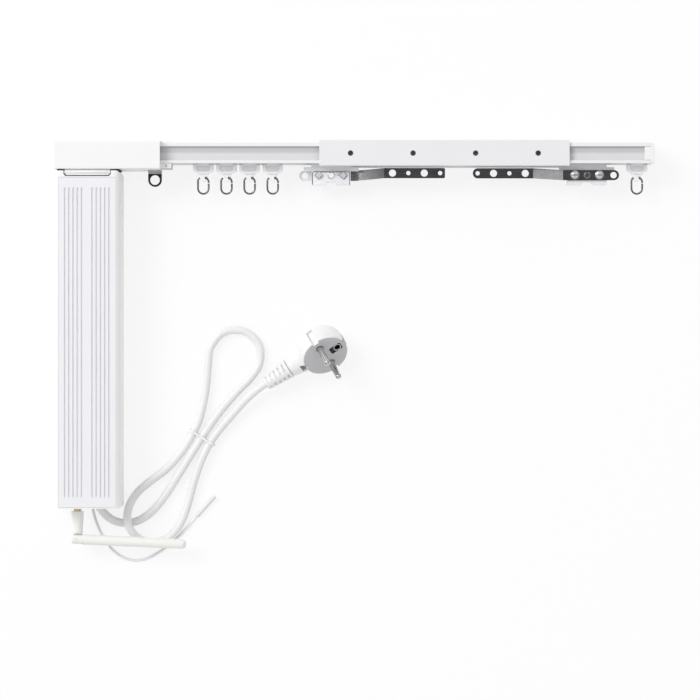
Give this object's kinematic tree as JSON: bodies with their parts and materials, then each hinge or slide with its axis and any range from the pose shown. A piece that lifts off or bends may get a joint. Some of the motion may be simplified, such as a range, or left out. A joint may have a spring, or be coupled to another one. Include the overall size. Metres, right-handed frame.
{
  "type": "electric curtain track",
  "caption": "Belt-driven curtain track in a joining sleeve, with a hanging grooved motor, drive head, overlapping carriers, hook gliders, folding antenna and a tied mains lead with plug.",
  "frame": {"origin": "middle of the outline without the lead, on the surface the part lies on", "axes": "+X along the track away from the motor, +Y up when the track hangs, +Z out of the surface towards the viewer"},
  "size_m": [0.4692, 0.332, 0.0457],
  "materials": {
    "white_paint": "white powder coat on aluminium",
    "white_abs": "smooth white moulded plastic",
    "grey_panel": "light grey ribbed panel",
    "nylon": "white moulded nylon",
    "grey_nylon": "grey acetal",
    "dark_steel": "polished dark steel",
    "zinc_steel": "zinc plated steel",
    "black_screw": "blackened steel",
    "black_plastic": "black moulded plastic",
    "bronze": "turned brass",
    "belt_rubber": "black toothed belt",
    "board_green": "circuit board",
    "antenna_white": "white moulded plastic",
    "white_pvc": "white flexible vinyl",
    "clear_tip": "pale shrink sleeve",
    "nickel": "nickel plated brass"
  },
  "bodies": {
    "frame": {"track_left": "white_paint", "track_right": "white_paint", "joint_sleeve": "white_paint", "sleeve_screws": "black_screw", "head_housing": "white_abs", "head_base": "white_abs", "head_screws": "zinc_steel", "end_eye_strap": "zinc_steel", "end_eye": "black_plastic", "pulley_bearings": "bronze", "belt": "belt_rubber", "idler_axle": "zinc_steel", "end_cap": "white_abs", "motor_case": "white_abs", "motor_panel": "grey_panel", "motor_head_cap": "white_abs", "motor_foot_cap": "white_abs", "case_screws": "zinc_steel", "gear_reducer": "zinc_steel", "motor_can": "zinc_steel", "control_board": "board_green", "antenna_connector": "bronze", "cord_gland": "white_pvc", "power_cord": "white_pvc", "cord_tie": "white_pvc", "antenna_wire": "white_pvc", "antenna_wire_tip": "clear_tip", "plug_body": "white_pvc", "plug_pins": "nickel", "plug_earth_clips": "nickel", "plug_relief": "white_pvc"},
    "drive_train": {"drive_pulley": "grey_nylon", "motor_coupling": "zinc_steel"},
    "idler": {"idler_pulley": "grey_nylon"},
    "latch": {"release_latch": "white_abs"},
    "antenna_sleeve": {"antenna_base": "antenna_white", "antenna_hinge_pin": "zinc_steel"},
    "antenna_arm": {"antenna_rod": "antenna_white"},
    "left_carrier": {"left_carrier_block": "nylon", "left_carrier_arm": "dark_steel", "left_carrier_screws": "zinc_steel"},
    "right_carrier": {"right_carrier_block": "nylon", "right_carrier_arm": "dark_steel", "right_carrier_screws": "zinc_steel"},
    "left_wheel_pair_near": {"left_wheels_near": "grey_nylon"},
    "left_wheel_pair_far": {"left_wheels_far": "grey_nylon"},
    "right_wheel_pair_near": {"right_wheels_near": "grey_nylon"},
    "right_wheel_pair_far": {"right_wheels_far": "grey_nylon"},
    "glider_1_body": {"glider_1": "nylon"},
    "hook_1_body": {"hook_1": "dark_steel"},
    "glider_2_body": {"glider_2": "nylon"},
    "hook_2_body": {"hook_2": "dark_steel"},
    "glider_3_body": {"glider_3": "nylon"},
    "hook_3_body": {"hook_3": "dark_steel"},
    "glider_4_body": {"glider_4": "nylon"},
    "hook_4_body": {"hook_4": "dark_steel"},
    "glider_5_body": {"glider_5": "nylon"},
    "hook_5_body": {"hook_5": "dark_steel"}
  },
  "joints": [
    {"name": "left_carrier_slide", "type": "slide", "parent": "frame", "child": "left_carrier", "axis": [1, 0, 0], "range_m": [0, 0.036]},
    {"name": "right_carrier_slide", "type": "slide", "parent": "frame", "child": "right_carrier", "axis": [1, 0, 0], "range_m": [-0.036, 0]},
    {"name": "left_wheel_pair_near_spin", "type": "hinge", "parent": "left_carrier", "child": "left_wheel_pair_near", "pos_m": [-0.0293, 0.14876, 0.01715], "axis": [0, 0, 1], "range_deg": [-515.9, 0]},
    {"name": "left_wheel_pair_far_spin", "type": "hinge", "parent": "left_carrier", "child": "left_wheel_pair_far", "pos_m": [-0.0073, 0.14876, 0.01715], "axis": [0, 0, 1], "range_deg": [-515.9, 0]},
    {"name": "right_wheel_pair_near_spin", "type": "hinge", "parent": "right_carrier", "child": "right_wheel_pair_near", "pos_m": [0.1717, 0.14876, 0.01715], "axis": [0, 0, 1], "range_deg": [0, 515.9]},
    {"name": "right_wheel_pair_far_spin", "type": "hinge", "parent": "right_carrier", "child": "right_wheel_pair_far", "pos_m": [0.1937, 0.14876, 0.01715], "axis": [0, 0, 1], "range_deg": [0, 515.9]},
    {"name": "drive_train_spin", "type": "hinge", "parent": "frame", "child": "drive_train", "pos_m": [-0.2086, 0.15216, 0.01715], "axis": [0, 1, 0], "range_deg": [0, 229.4]},
    {"name": "idler_spin", "type": "hinge", "parent": "frame", "child": "idler", "pos_m": [0.2203, 0.15216, 0.01715], "axis": [0, 1, 0], "range_deg": [0, 229.4]},
    {"name": "glider_1_slide", "type": "slide", "parent": "frame", "child": "glider_1_body", "axis": [1, 0, 0], "range_m": [0, 0.0072]},
    {"name": "hook_1_swing", "type": "hinge", "parent": "glider_1_body", "child": "hook_1_body", "pos_m": [-0.1189, 0.13136, 0.01715], "axis": [1, 0, 0], "range_deg": [-80, 80]},
    {"name": "glider_2_slide", "type": "slide", "parent": "frame", "child": "glider_2_body", "axis": [1, 0, 0], "range_m": [0, 0.0144]},
    {"name": "hook_2_swing", "type": "hinge", "parent": "glider_2_body", "child": "hook_2_body", "pos_m": [-0.1007, 0.13136, 0.01715], "axis": [1, 0, 0], "range_deg": [-80, 80]},
    {"name": "glider_3_slide", "type": "slide", "parent": "frame", "child": "glider_3_body", "axis": [1, 0, 0], "range_m": [0, 0.0216]},
    {"name": "hook_3_swing", "type": "hinge", "parent": "glider_3_body", "child": "hook_3_body", "pos_m": [-0.0825, 0.13136, 0.01715], "axis": [1, 0, 0], "range_deg": [-80, 80]},
    {"name": "glider_4_slide", "type": "slide", "parent": "frame", "child": "glider_4_body", "axis": [1, 0, 0], "range_m": [0, 0.0288]},
    {"name": "hook_4_swing", "type": "hinge", "parent": "glider_4_body", "child": "hook_4_body", "pos_m": [-0.0643, 0.13136, 0.01715], "axis": [1, 0, 0], "range_deg": [-80, 80]},
    {"name": "glider_5_slide", "type": "slide", "parent": "frame", "child": "glider_5_body", "axis": [1, 0, 0], "range_m": [-0.018, 0]},
    {"name": "hook_5_swing", "type": "hinge", "parent": "glider_5_body", "child": "hook_5_body", "pos_m": [0.2222, 0.13136, 0.01715], "axis": [1, 0, 0], "range_deg": [-80, 80]},
    {"name": "release_latch_press", "type": "slide", "parent": "frame", "child": "latch", "axis": [0, 0, -1], "range_m": [0, 0.0025], "stiffness_N_per_m": 200, "springref_m": -0.002},
    {"name": "antenna_swivel", "type": "hinge", "parent": "frame", "child": "antenna_sleeve", "pos_m": [-0.218, -0.13264, 0.0165], "axis": [0, -1, 0], "range_deg": [0, 180]},
    {"name": "antenna_fold", "type": "hinge", "parent": "antenna_sleeve", "child": "antenna_arm", "pos_m": [-0.218, -0.15284, 0.0165], "axis": [0, 0, 1], "range_deg": [-87.3, 0]}
  ],
  "couplings": [
    {"joint": "right_carrier_slide", "follows": "left_carrier_slide", "ratio": -1},
    {"joint": "left_wheel_pair_near_spin", "follows": "left_carrier_slide", "rad_per_m": -250},
    {"joint": "left_wheel_pair_far_spin", "follows": "left_carrier_slide", "rad_per_m": -250},
    {"joint": "right_wheel_pair_near_spin", "follows": "left_carrier_slide", "rad_per_m": 250},
    {"joint": "right_wheel_pair_far_spin", "follows": "left_carrier_slide", "rad_per_m": 250},
    {"joint": "drive_train_spin", "follows": "left_carrier_slide", "rad_per_m": 111.11},
    {"joint": "idler_spin", "follows": "left_carrier_slide", "rad_per_m": 111.11},
    {"joint": "glider_1_slide", "follows": "left_carrier_slide", "ratio": 0.2},
    {"joint": "glider_2_slide", "follows": "left_carrier_slide", "ratio": 0.4},
    {"joint": "glider_3_slide", "follows": "left_carrier_slide", "ratio": 0.6},
    {"joint": "glider_4_slide", "follows": "left_carrier_slide", "ratio": 0.8},
    {"joint": "glider_5_slide", "follows": "left_carrier_slide", "ratio": -0.5}
  ]
}
